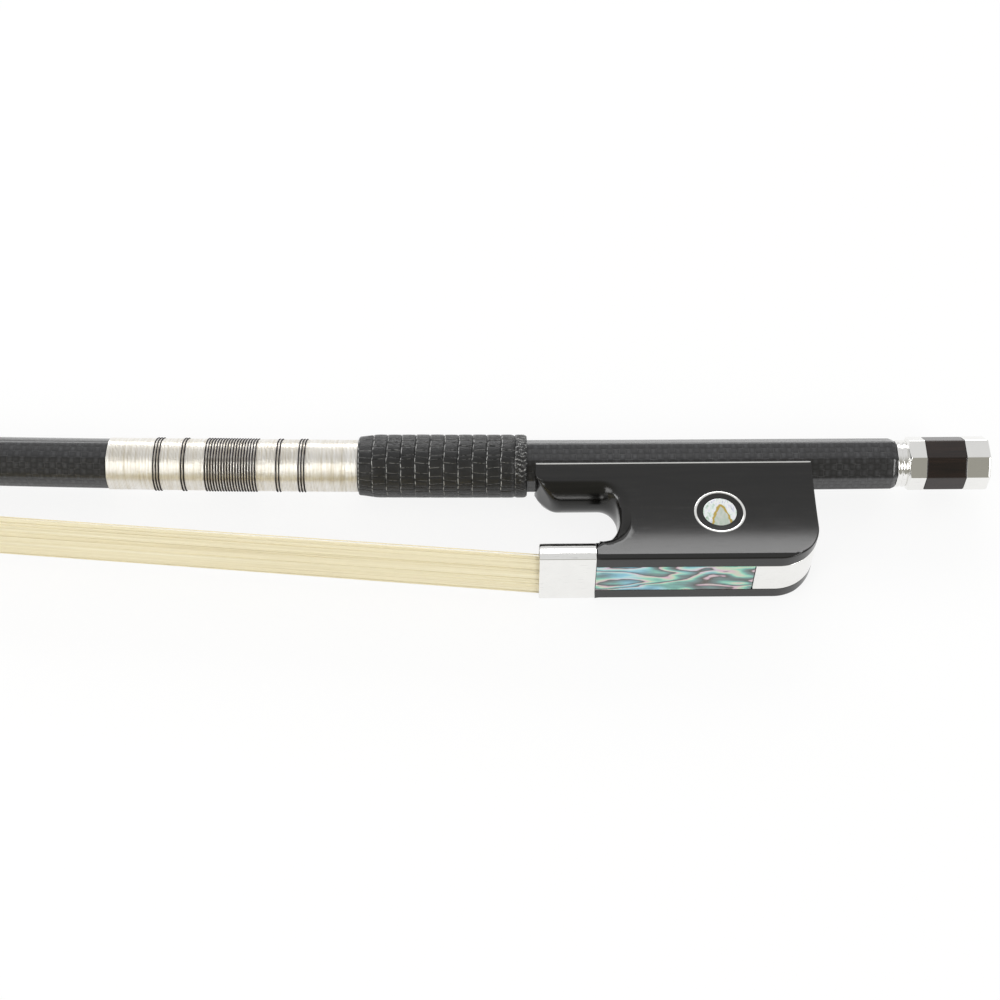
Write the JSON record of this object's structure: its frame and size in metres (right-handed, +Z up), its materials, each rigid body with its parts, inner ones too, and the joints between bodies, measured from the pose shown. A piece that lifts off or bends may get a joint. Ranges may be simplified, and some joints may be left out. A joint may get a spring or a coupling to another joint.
{
  "type": "cello bow",
  "caption": "Cello bow with a cambered octagonal carbon stick, wound grip, ebony frog with abalone slide and a screw button that tightens the hair.",
  "frame": {"origin": "under the middle of the bow, on the surface that it lies on", "axes": "+X along the handle towards the button, +Y from the hair towards the stick's back, +Z up out of the side that it doesn't lie on"},
  "size_m": [0.715, 0.0818, 0.0143],
  "materials": {
    "carbon": "clear-coated woven carbon fibre",
    "liner": "black fibre",
    "tip_plate": "ivory white, polished",
    "plug_wood": "plain limewood",
    "hair": "pale horsehair",
    "wire": "fine silver wire, close wound",
    "thread": "dark purple brown thread",
    "leather": "black lizard grain",
    "ebony": "polished ebony",
    "nickel_silver": "polished",
    "brass": "machined",
    "abalone": "polished shell in blue, green and pink layers",
    "steel": "bare"
  },
  "bodies": {
    "stick": {"stick": "carbon", "head_liner": "liner", "head_plate": "tip_plate", "head_plug": "plug_wood", "head_hair_knot": "hair", "hair_ribbon": "hair", "winding_wire": "wire", "thread_band_1": "thread", "thread_band_2": "thread", "thread_band_3": "thread", "thread_band_4": "thread", "thread_band_5": "thread", "leather_grip": "leather"},
    "frog": {"frog": "ebony", "underslide": "nickel_silver", "eyelet": "brass", "ferrule": "nickel_silver", "ferrule_wedge": "plug_wood", "frog_plug": "plug_wood", "frog_hair_knot": "hair", "slide": "ebony", "slide_inlay": "abalone", "heel_plate": "nickel_silver", "eye_ring_near": "nickel_silver", "eye_ring_far": "nickel_silver", "eye_dot_near": "abalone", "eye_dot_far": "abalone"},
    "button": {"screw": "steel", "button_front_ring": "nickel_silver", "button_core": "ebony", "button_end_cap": "nickel_silver"}
  },
  "joints": [
    {"name": "button_turn", "type": "hinge", "parent": "stick", "child": "button", "pos_m": [0.3395, -0.01511, 0.00715], "axis": [-1, 0, 0], "range_deg": [-360.5, 3240.5]},
    {"name": "frog_slide", "type": "slide", "parent": "stick", "child": "frog", "axis": [1, 0, 0], "range_m": [-0.0006, 0.0054], "deforming": ["hair_ribbon"]}
  ],
  "couplings": [
    {"joint": "button_turn", "follows": "frog_slide", "rad_per_m": 10472}
  ]
}
